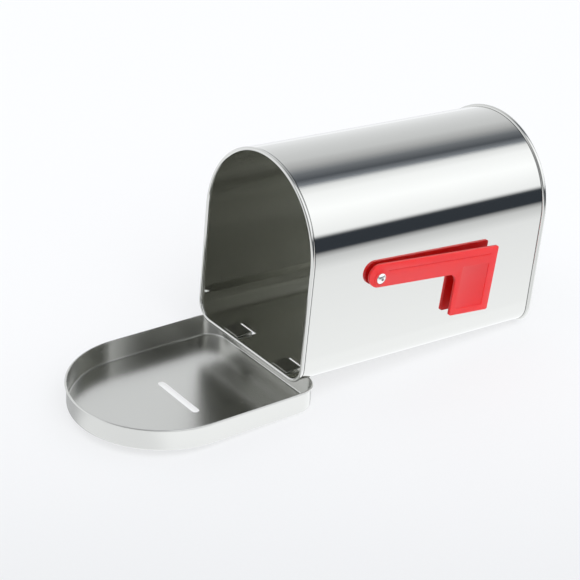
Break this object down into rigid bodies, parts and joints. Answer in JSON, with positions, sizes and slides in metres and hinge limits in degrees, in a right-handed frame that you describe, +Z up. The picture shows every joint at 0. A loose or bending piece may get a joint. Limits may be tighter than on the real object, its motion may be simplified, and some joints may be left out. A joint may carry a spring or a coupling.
{
  "type": "mailbox",
  "caption": "Small tinplate letter box with an arched roof, a drop-down tray door with a coin slot, and a pivoting signal flag on the right side.",
  "frame": {"origin": "centre of the underside of the body's floor", "axes": "+X to the right seen from the front, +Y to the rear, +Z up"},
  "size_m": [0.1133, 0.2977, 0.1488],
  "materials": {
    "tinplate": "bright electrolytic tinplate with a fine rolling grain",
    "door_tinplate": "bright tinplate, pressed, slightly softer shine",
    "red_plastic": "semi-gloss moulded plastic",
    "rivet_alloy": "bright formed head",
    "rivet_steel": "plain zinc-plated steel",
    "white_plastic": "moulded nylon"
  },
  "bodies": {
    "body": {"body_wrap": "tinplate", "back_panel": "tinplate", "flag_rivet": "rivet_alloy", "rivet_pin": "rivet_steel", "spacing_washer": "white_plastic", "backing_washer": "rivet_steel"},
    "door": {"door": "door_tinplate"},
    "flag": {"flag": "red_plastic"}
  },
  "joints": [
    {"name": "door_hinge", "type": "hinge", "parent": "body", "child": "door", "pos_m": [0, -0.078, 0.0002], "axis": [1, 0, 0], "range_deg": [-92.4, 0]},
    {"name": "flag_pivot", "type": "hinge", "parent": "body", "child": "flag", "pos_m": [0.0525, -0.0415, 0.0615], "axis": [1, 0, 0], "range_deg": [0, 93.2]}
  ]
}
